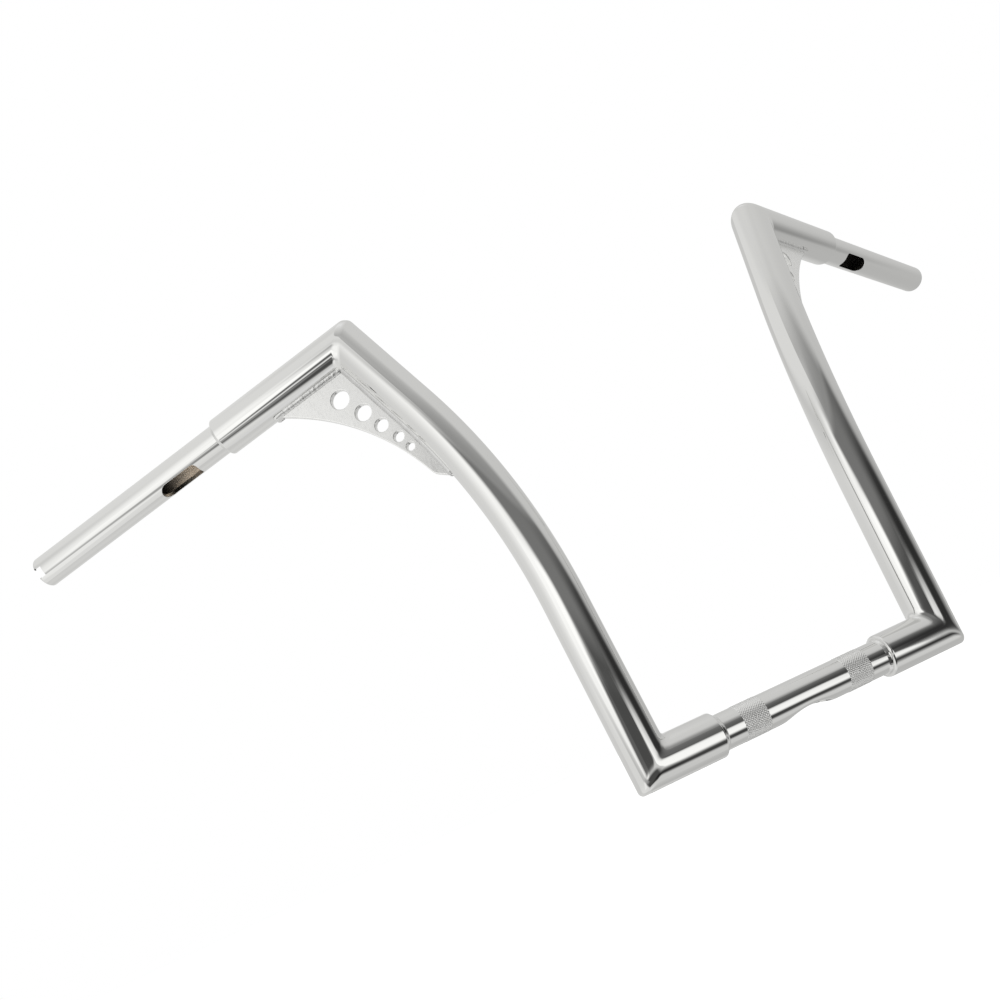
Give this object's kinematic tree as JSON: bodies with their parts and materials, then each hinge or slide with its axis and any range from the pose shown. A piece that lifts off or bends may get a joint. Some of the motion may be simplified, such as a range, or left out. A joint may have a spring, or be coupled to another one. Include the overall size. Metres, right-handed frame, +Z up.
{
  "type": "motorcycle handlebar",
  "caption": "Tall chrome-plated ape hanger handlebar of welded steel tube with mitred corners and drilled corner gussets.",
  "frame": {"origin": "on the clamp tube's axis, halfway between the two knurled clamp bands", "axes": "+X toward the rider's left along the clamp tube, +Y back toward the rider, +Z up along the risers"},
  "size_m": [0.908, 0.219, 0.4057],
  "materials": {
    "tube_chrome": "polished",
    "clamp_chrome": "polished, with two knurled bands",
    "gusset_chrome": "polished",
    "weld_chrome": "plated over rippled weld"
  },
  "bodies": {
    "root": {"centre_tube": "clamp_chrome", "left_lower_stub": "tube_chrome", "right_lower_stub": "tube_chrome", "left_riser": "tube_chrome", "right_riser": "tube_chrome", "left_upper_stub": "tube_chrome", "right_upper_stub": "tube_chrome", "left_grip_tube": "tube_chrome", "right_grip_tube": "tube_chrome", "left_gusset": "gusset_chrome", "right_gusset": "gusset_chrome", "left_lower_mitre_weld": "weld_chrome", "right_lower_mitre_weld": "weld_chrome", "left_upper_mitre_weld": "weld_chrome", "right_upper_mitre_weld": "weld_chrome", "left_lower_ring_weld": "weld_chrome", "right_lower_ring_weld": "weld_chrome", "left_upper_ring_weld": "weld_chrome", "right_upper_ring_weld": "weld_chrome", "left_riser_bead": "weld_chrome", "right_riser_bead": "weld_chrome", "left_stub_bead": "weld_chrome", "right_stub_bead": "weld_chrome"}
  },
  "joints": []
}
